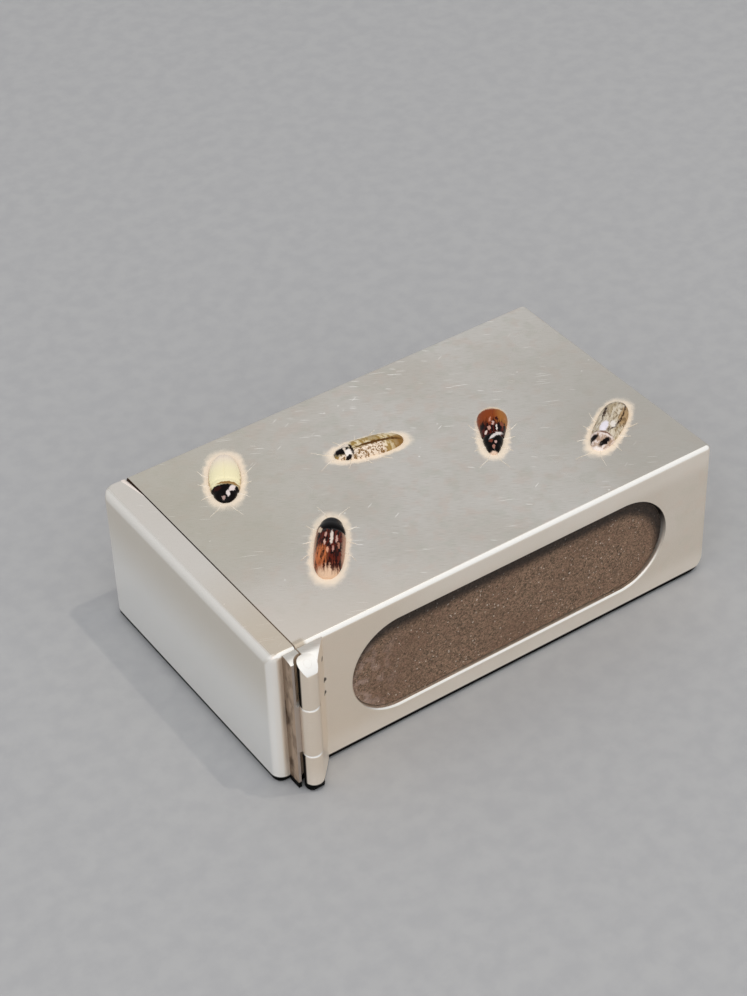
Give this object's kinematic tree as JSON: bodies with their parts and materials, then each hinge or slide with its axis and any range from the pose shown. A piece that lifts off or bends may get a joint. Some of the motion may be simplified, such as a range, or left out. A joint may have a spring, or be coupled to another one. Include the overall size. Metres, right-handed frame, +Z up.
{
  "type": "vesta case",
  "caption": "Flat silver vesta case with a hinged end lid, a long side window on the striking surface, and enamelled insects applied to its upper face.",
  "frame": {"origin": "middle of the base on the surface that the case lies on", "axes": "+X along the case to its closed end, with the lid at -X; the window and the hinge are on the -Y side; +Z up through the decorated face"},
  "size_m": [0.0628, 0.0401, 0.0211],
  "materials": {
    "silver": "satin sheet silver, softly scratched",
    "striker_board": "plain board",
    "striker_grit": "rough striking grit",
    "enamel_cream": "glossy enamel",
    "enamel_black": "glossy enamel",
    "enamel_red": "glossy enamel",
    "enamel_gold": "glossy enamel",
    "enamel_pale": "glossy enamel"
  },
  "bodies": {
    "case": {"case_sleeve": "silver", "case_end": "silver", "mouth_bezel": "silver", "striker_board": "striker_board", "striker_grit": "striker_grit", "hinge_bearer": "silver", "upper_knuckle": "silver", "lower_knuckle": "silver", "hinge_pin": "silver", "cream_beetle_wing_cases": "enamel_cream", "cream_beetle_head": "enamel_black", "red_beetle_wing_cases": "enamel_red", "red_beetle_head": "enamel_black", "slim_fly_wings": "enamel_gold", "slim_fly_head": "enamel_black", "dark_beetle_wing_cases": "enamel_red", "dark_beetle_head": "enamel_black", "pale_bug_wings": "enamel_pale", "pale_bug_head": "enamel_pale"},
    "lid": {"lid_cap": "silver", "lid_leaf": "silver", "lid_knuckle": "silver"}
  },
  "joints": [
    {"name": "lid_hinge", "type": "hinge", "parent": "case", "child": "lid", "pos_m": [-0.02785, -0.0206, 0.0097], "axis": [0, 0, 1], "range_deg": [0, 180]}
  ]
}
